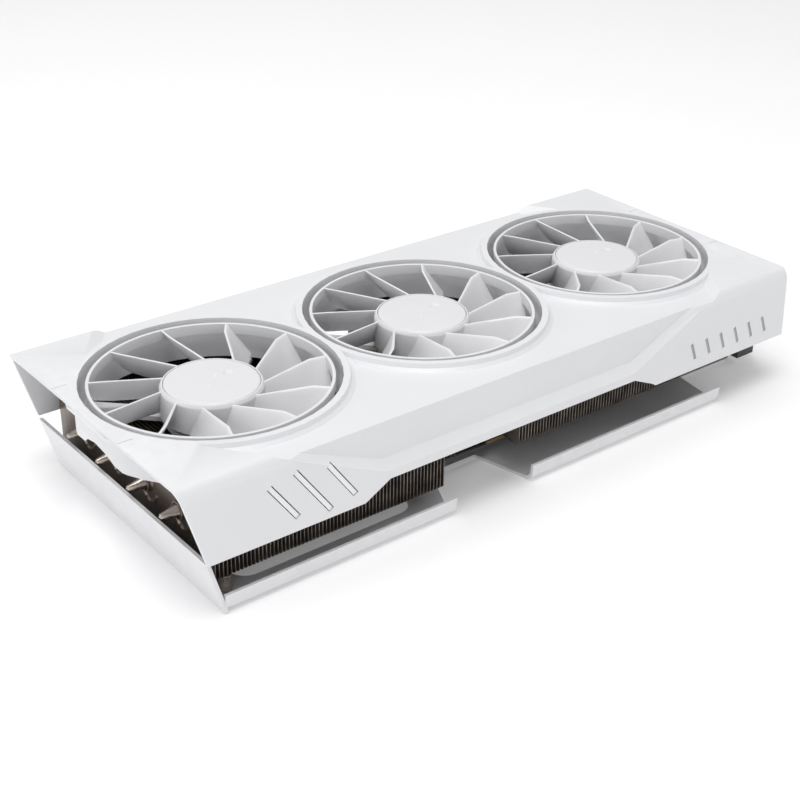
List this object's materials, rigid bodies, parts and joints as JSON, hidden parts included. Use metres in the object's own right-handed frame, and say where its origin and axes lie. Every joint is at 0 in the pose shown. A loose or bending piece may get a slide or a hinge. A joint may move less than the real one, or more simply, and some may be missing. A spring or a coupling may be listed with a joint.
{
  "type": "graphics card",
  "caption": "White graphics card with round ringed fans in a long shroud, fin stacks, heat pipes, flow-through backplate, input/output bracket and slot contacts.",
  "frame": {"origin": "on the plane of the backplate's underside, under the middle of the card's box", "axes": "+X along the card to the input/output bracket, +Y to the slot contacts, +Z the way the fans face"},
  "size_m": [0.3334, 0.1436, 0.0575],
  "materials": {
    "shroud_plastic": "satin moulded white",
    "fan_plastic": "satin moulded white",
    "cap_plastic": "satin white cap",
    "magnet": "dark bonded magnet",
    "steel": "turned steel",
    "winding": "lacquered copper wire on laminations",
    "frame_plastic": "matte grey-white plastic",
    "fin_metal": "dark nickel-plated sheet",
    "copper": "copper plate",
    "pipe_metal": "nickel-plated copper pipe",
    "board": "black solder mask on glass fibre laminate",
    "chip": "moulded chip package",
    "black_plastic": "moulded black",
    "port_steel": "stamped shell",
    "backplate_metal": "satin white paint",
    "spring_steel": "plain spring steel",
    "bracket_metal": "black zinc coating"
  },
  "bodies": {
    "card": {"shroud": "shroud_plastic", "bearing_sleeve_1": "steel", "stator_1": "winding", "fan_frame_1": "frame_plastic", "bearing_sleeve_2": "steel", "stator_2": "winding", "fan_frame_2": "frame_plastic", "bearing_sleeve_3": "steel", "stator_3": "winding", "fan_frame_3": "frame_plastic", "fin_stack_far": "fin_metal", "fin_stack_near": "fin_metal", "post_1": "fin_metal", "post_2": "fin_metal", "post_3": "fin_metal", "post_4": "fin_metal", "cold_plate": "copper", "heat_pipe_1": "pipe_metal", "heat_pipe_2": "pipe_metal", "heat_pipe_3": "pipe_metal", "heat_pipe_4": "pipe_metal", "circuit_board": "board", "gpu_package": "chip", "memory_chip_1": "chip", "memory_chip_2": "chip", "memory_chip_3": "chip", "memory_chip_4": "chip", "power_socket_1": "black_plastic", "power_socket_2": "black_plastic", "display_socket_1": "port_steel", "display_socket_2": "port_steel", "display_socket_3": "port_steel", "display_socket_4": "port_steel", "switch_housing": "port_steel", "backplate": "backplate_metal", "retention_bracket": "spring_steel", "spring_screw_1": "spring_steel", "spring_screw_2": "spring_steel", "spring_screw_3": "spring_steel", "spring_screw_4": "spring_steel", "bracket_screw_1": "spring_steel", "bracket_screw_2": "spring_steel", "io_bracket": "bracket_metal", "backplate_screw_1": "bracket_metal", "backplate_screw_2": "bracket_metal", "backplate_screw_3": "bracket_metal", "backplate_screw_4": "bracket_metal"},
    "rotor_1": {"fan_rotor_1": "fan_plastic", "hub_cap_1": "cap_plastic", "magnet_ring_1": "magnet", "motor_shaft_1": "steel"},
    "rotor_2": {"fan_rotor_2": "fan_plastic", "hub_cap_2": "cap_plastic", "magnet_ring_2": "magnet", "motor_shaft_2": "steel"},
    "rotor_3": {"fan_rotor_3": "fan_plastic", "hub_cap_3": "cap_plastic", "magnet_ring_3": "magnet", "motor_shaft_3": "steel"},
    "selector": {"switch_slider": "black_plastic"}
  },
  "joints": [
    {"name": "fan_1_spin", "type": "hinge", "parent": "card", "child": "rotor_1", "pos_m": [-0.11145, -0.00175, 0.046], "axis": [0, 0, 1], "continuous": true},
    {"name": "fan_2_spin", "type": "hinge", "parent": "card", "child": "rotor_2", "pos_m": [-0.00595, -0.00175, 0.046], "axis": [0, 0, 1], "continuous": true},
    {"name": "fan_3_spin", "type": "hinge", "parent": "card", "child": "rotor_3", "pos_m": [0.09955, -0.00175, 0.046], "axis": [0, 0, 1], "continuous": true},
    {"name": "selector_slide", "type": "slide", "parent": "card", "child": "selector", "axis": [1, 0, 0], "range_m": [0, 0.0022]}
  ]
}
